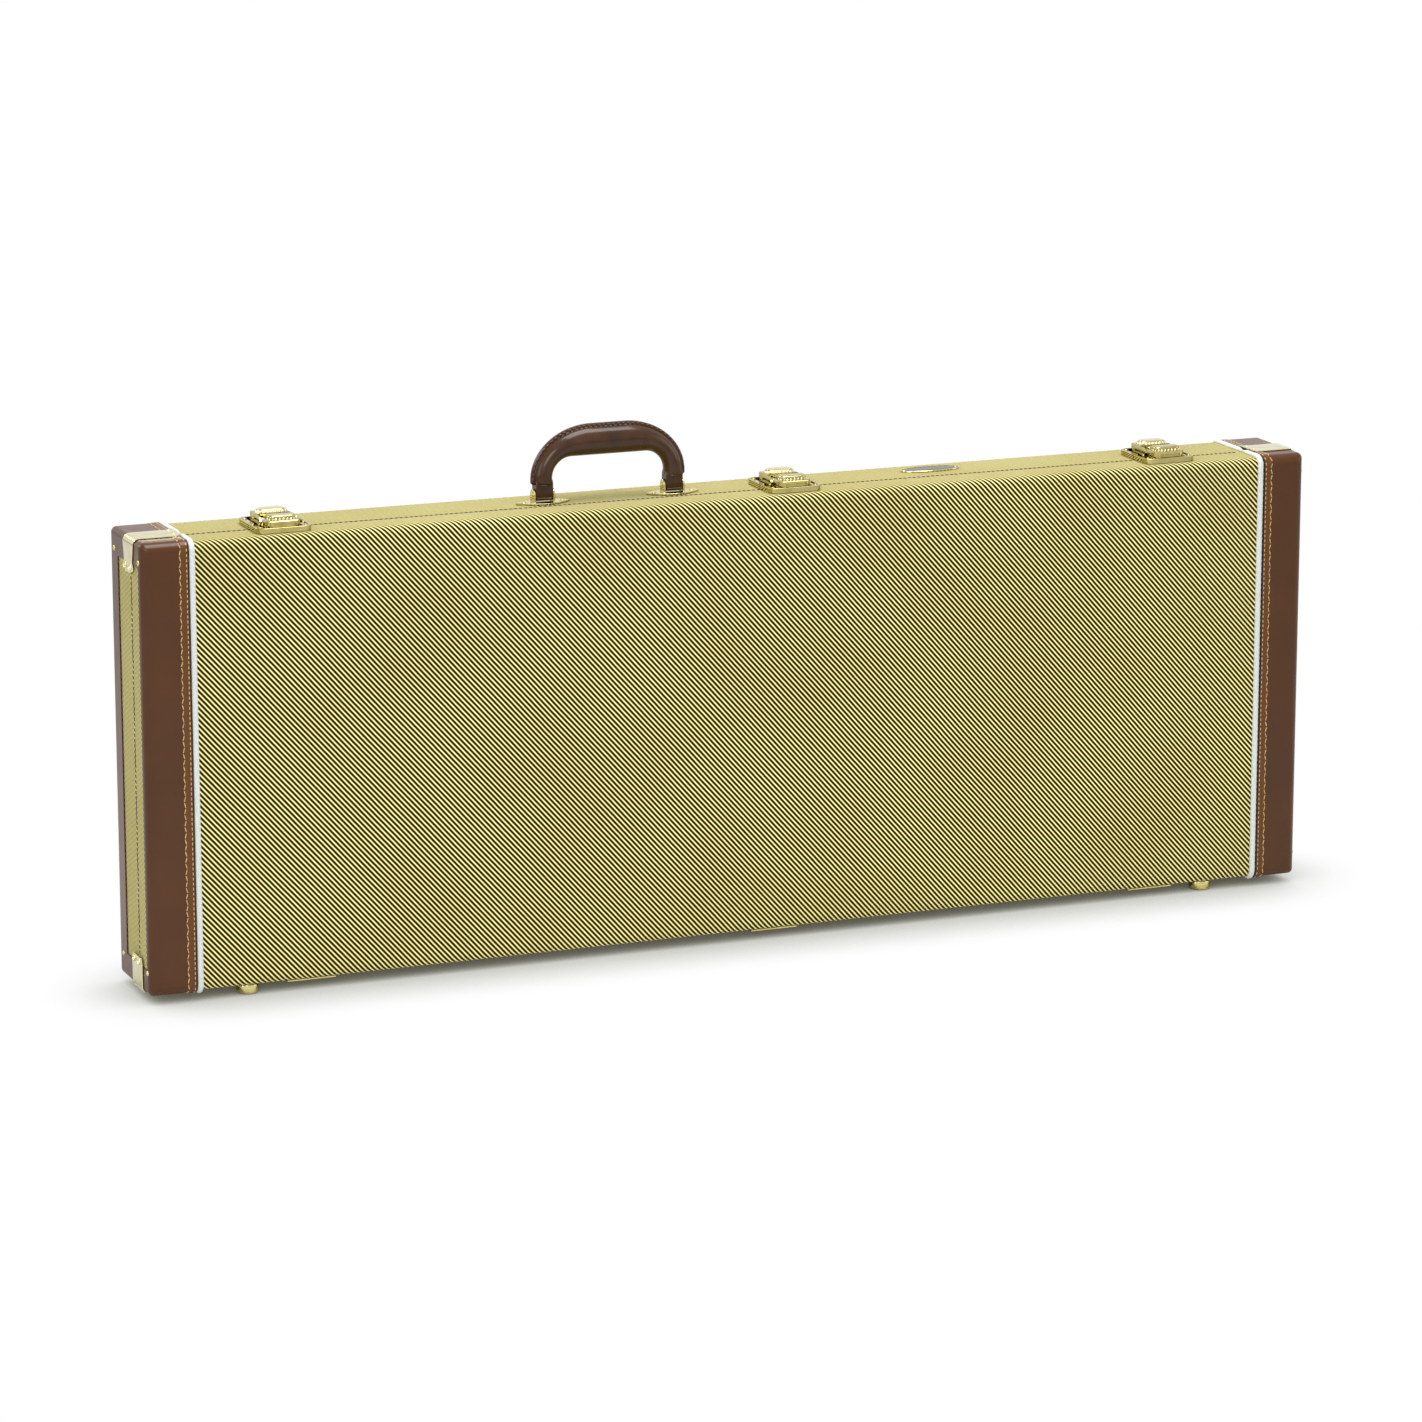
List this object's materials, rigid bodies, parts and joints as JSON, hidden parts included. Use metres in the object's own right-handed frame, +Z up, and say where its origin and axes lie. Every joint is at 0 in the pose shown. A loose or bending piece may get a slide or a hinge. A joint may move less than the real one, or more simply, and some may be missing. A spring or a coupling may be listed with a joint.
{
  "type": "electric guitar case",
  "caption": "Rectangular cloth-covered guitar case with leather ends, hinged lid, draw latches, folding handle and lined compartments.",
  "frame": {"origin": "middle of the bounding box's bottom, on the floor under the feet", "axes": "+X along the case towards the headstock end, -Y out of the lid's face, +Z up"},
  "size_m": [1.0524, 0.0934, 0.4485],
  "materials": {
    "tweed": "striped tweed cloth glued over plywood",
    "leather": "smooth brown leatherette, satin",
    "handle_leather": "dark brown leather, polished",
    "piping": "white vinyl welting",
    "brass": "polished pale brass plate",
    "oval_plate": "black enamel, bare",
    "plush": "short pile plush over foam"
  },
  "bodies": {
    "body": {"body_shell": "tweed", "body_leather_left": "leather", "body_leather_right": "leather", "body_piping_left": "piping", "body_piping_right": "piping", "body_strap_top_left": "brass", "body_strap_top_right": "brass", "body_strap_bottom_left": "brass", "body_strap_bottom_right": "brass", "hinge_body_leaf_left": "brass", "hinge_body_leaf_middle": "brass", "hinge_body_leaf_right": "brass", "hinge_pin_left": "brass", "hinge_pin_middle": "brass", "hinge_pin_right": "brass", "latch_base_left": "brass", "latch_base_middle": "brass", "latch_base_right": "brass", "handle_bracket_left": "brass", "handle_bracket_right": "brass", "handle_pin_left": "brass", "handle_pin_right": "brass", "body_foot_left": "brass", "body_foot_right": "brass", "oval_plate": "oval_plate", "body_liner": "plush", "body_back_pad": "plush", "tail_pad": "plush", "head_pad": "plush", "bout_pad_upper": "plush", "bout_pad_lower": "plush", "neck_rest": "plush", "accessory_box": "plush"},
    "lid": {"lid_shell": "tweed", "lid_leather_left": "leather", "lid_leather_right": "leather", "lid_piping_left": "piping", "lid_piping_right": "piping", "lid_strap_top_left": "brass", "lid_strap_top_right": "brass", "lid_strap_bottom_left": "brass", "lid_strap_bottom_right": "brass", "hinge_lid_leaf_left": "brass", "hinge_lid_leaf_middle": "brass", "hinge_lid_leaf_right": "brass", "latch_keeper_left": "brass", "latch_keeper_middle": "brass", "latch_keeper_right": "brass", "lid_foot_left": "brass", "lid_foot_right": "brass", "lid_pad": "plush"},
    "lever_left": {"latch_lever_left": "brass"},
    "lever_middle": {"latch_lever_middle": "brass"},
    "lever_right": {"latch_lever_right": "brass"},
    "loop_left": {"latch_loop_left": "brass"},
    "loop_middle": {"latch_loop_middle": "brass"},
    "loop_right": {"latch_loop_right": "brass"},
    "handle": {"handle_grip": "handle_leather"},
    "accessory_cover": {"accessory_lid": "plush"}
  },
  "joints": [
    {"name": "lid_hinge", "type": "hinge", "parent": "body", "child": "lid", "pos_m": [0, -0.011, 0.006], "axis": [1, 0, 0], "range_deg": [0, 105]},
    {"name": "latch_lever_left", "type": "hinge", "parent": "body", "child": "lever_left", "pos_m": [-0.4, -0.0145, 0.3905], "axis": [1, 0, 0], "range_deg": [0, 90]},
    {"name": "latch_lever_middle", "type": "hinge", "parent": "body", "child": "lever_middle", "pos_m": [0.05, -0.0145, 0.3905], "axis": [1, 0, 0], "range_deg": [0, 90]},
    {"name": "latch_lever_right", "type": "hinge", "parent": "body", "child": "lever_right", "pos_m": [0.4, -0.0145, 0.3905], "axis": [1, 0, 0], "range_deg": [0, 90]},
    {"name": "latch_loop_left", "type": "hinge", "parent": "lever_left", "child": "loop_left", "pos_m": [-0.4, -0.007, 0.3905], "axis": [1, 0, 0], "range_deg": [-90, 0]},
    {"name": "latch_loop_middle", "type": "hinge", "parent": "lever_middle", "child": "loop_middle", "pos_m": [0.05, -0.007, 0.3905], "axis": [1, 0, 0], "range_deg": [-90, 0]},
    {"name": "latch_loop_right", "type": "hinge", "parent": "lever_right", "child": "loop_right", "pos_m": [0.4, -0.007, 0.3905], "axis": [1, 0, 0], "range_deg": [-90, 0]},
    {"name": "handle_swing", "type": "hinge", "parent": "body", "child": "handle", "pos_m": [-0.1055, 0.002, 0.3915], "axis": [1, 0, 0], "range_deg": [-70, 70]},
    {"name": "accessory_lid_hinge", "type": "hinge", "parent": "body", "child": "accessory_cover", "pos_m": [0.245, -0.00905, 0.01885], "axis": [1, 0, 0], "range_deg": [0, 85]}
  ],
  "couplings": [
    {"joint": "latch_loop_left", "follows": "latch_lever_left", "ratio": -1},
    {"joint": "latch_loop_middle", "follows": "latch_lever_middle", "ratio": -1},
    {"joint": "latch_loop_right", "follows": "latch_lever_right", "ratio": -1},
    {"joint": "accessory_lid_hinge", "follows": "lid_hinge", "ratio": 0.8}
  ]
}
